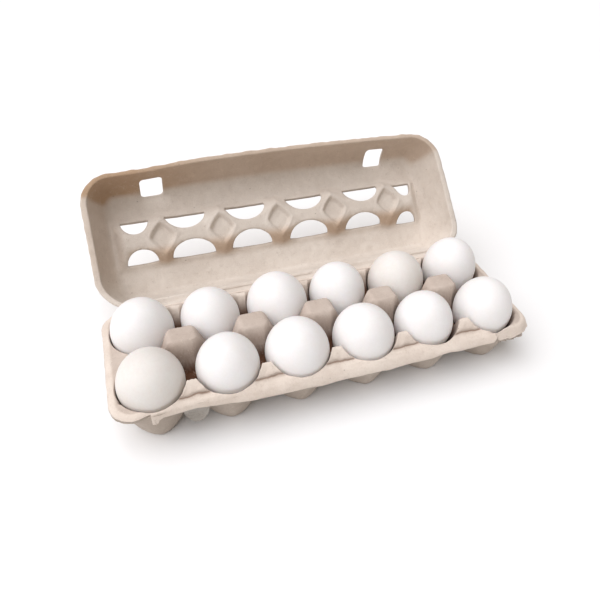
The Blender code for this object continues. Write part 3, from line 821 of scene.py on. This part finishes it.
def hinge_strip(name, us, section, finish):
    """A section carried along the hinge: cubic curves through its points, each point's slope
    being half the way from the one before to the one after."""
    section = np.array(section)
    k = np.linspace(0, len(section) - 1, 4 * len(section) - 3)
    i = np.clip(k.astype(int), 0, len(section) - 2)
    t = (k - i)[:, None]
    before, after = 2 * section[:1] - section[1:2], 2 * section[-1:] - section[-2:-1]
    padded = np.concatenate([before, section, after])
    p0, p1, p2, p3 = padded[i], padded[i + 1], padded[i + 2], padded[i + 3]
    curve = 0.5 * (2 * p1 + (p2 - p0) * t + (2 * p0 - 5 * p1 + 4 * p2 - p3) * t ** 2
                   + (3 * p1 - p0 - 3 * p2 + p3) * t ** 3)
    u, v = np.meshgrid(us, np.arange(len(curve)), indexing="ij")
    y, z = curve[v, 0], curve[v, 1]
    lift = 0.12 * dents(u, y, 12.0, 41) * np.sin(pi * v / (len(curve) - 1))
    points = np.stack([u, y, z + lift], axis=-1) * MM
    made = piece(name, closed_mesh(name, points, grid_faces(len(us), len(curve))[:, ::-1]))
    give_wall(made, FOLD_WALL, finish)
    return made


def lid_section(y, depth):
    place = lid_place(np.array(0.0), np.array(y), np.array(depth)) / MM
    return (place[1], place[2])


fold_section = [(2.0, 34.6), (3.6, 34.7), (4.9, 34.9),
                lid_section(0.6, 0.2), lid_section(2.2, 0.1), lid_section(3.6, 0.3)]
back_fold = hinge_strip("lid_hinge_pulp", steps(-131.0, 131.0, 1.5), fold_section, lid_finish)
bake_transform(back_fold)

fold_u, along = np.meshgrid(steps(FLAP_LEFT + 0.2, FLAP_RIGHT - 0.8, 1.5),
                            steps(-3.0, 2.4, 0.6), indexing="ij")
lift = 0.12 - 0.34 * smooth(np.abs(along + 0.3) / 1.35 - 1.0)
on_rim = np.clip(-along, 0.0, None)
fold_points = flap_place(fold_u, FOLD_START + np.clip(along, 0.0, None), -lift)
fold_points[..., 1] += on_rim * MM
rim_z = tray_form(fold_u, FOLD_Y - TRAY_Y + on_rim)
fold_points[..., 2] = np.where(along < 0.0, (rim_z + lift) * MM, fold_points[..., 2])
fold_faces = grid_faces(*fold_u.shape)
front_fold = piece("flap_hinge_pulp", closed_mesh("flap_hinge_pulp", fold_points, fold_faces))
give_wall(front_fold, FOLD_WALL, flap_finish)
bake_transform(front_fold)


# ---------------------------------------------------------------- floor, light and camera
# A plain white studio table, one large soft light from the upper left and a weak warm room.
floor_mesh = bpy.data.meshes.new("floor")
reach_out = 6.0
floor_mesh.from_pydata([(-reach_out, -reach_out, 0.0), (reach_out, -reach_out, 0.0),
                        (reach_out, reach_out, 0.0), (-reach_out, reach_out, 0.0)], [], [(0, 1, 2, 3)])
floor = piece("floor", floor_mesh)
table_top = Finish("white table")
tone = table_top.mix(table_top.noise(3.0), colour(248, 248, 247), colour(245, 245, 245))
floor_mesh.materials.append(table_top.close({"Roughness": 0.7}, **{"Base Color": tone}))


def soft_light(name, towards, strength, spread, tint):
    """A wide, distant soft light that shines from this direction."""
    lamp = bpy.data.lights.new(name, "SUN")
    lamp.angle, lamp.energy, lamp.color = radians(spread), strength, tint
    made = bpy.data.objects.new(name, lamp)
    made.rotation_mode = "QUATERNION"
    made.rotation_quaternion = Vector(towards).normalized().to_track_quat("Z", "Y")
    bpy.context.scene.collection.objects.link(made)


soft_light("key light", (-0.42, -0.06, 0.90), 3.25, 85.0, (0.975, 0.985, 1.03))
world = bpy.data.worlds.new("studio room")
bpy.context.scene.world = world
world.use_nodes = True
world.node_tree.nodes["Background"].inputs["Color"].default_value = (1.0, 0.89, 0.77, 1.0)
world.node_tree.nodes["Background"].inputs["Strength"].default_value = 0.27
bpy.context.scene.view_settings.view_transform = "Standard"

camera_data = bpy.data.cameras.new("camera")
camera_data.lens = 32.55
camera_data.sensor_width = 36.0
camera = bpy.data.objects.new("camera", camera_data)
bpy.context.scene.collection.objects.link(camera)
AZIMUTH, ELEVATION, ROLL, DISTANCE = radians(-19.48), radians(41.47), radians(1.92), 0.3773
back = Vector((sin(AZIMUTH) * cos(ELEVATION), -cos(AZIMUTH) * cos(ELEVATION), sin(ELEVATION)))
flat = Vector((0.0, 0.0, 1.0)).cross(back).normalized()
upright = back.cross(flat)
right = flat * cos(ROLL) + upright * sin(ROLL)
up = upright * cos(ROLL) - flat * sin(ROLL)
turned = Matrix((right, up, back)).transposed().to_4x4()
turned.translation = Vector((-0.01474, TRAY_Y * MM, 0.0572)) + back * DISTANCE
camera.matrix_world = turned
camera_data.clip_start = 0.01
bpy.context.scene.camera = camera
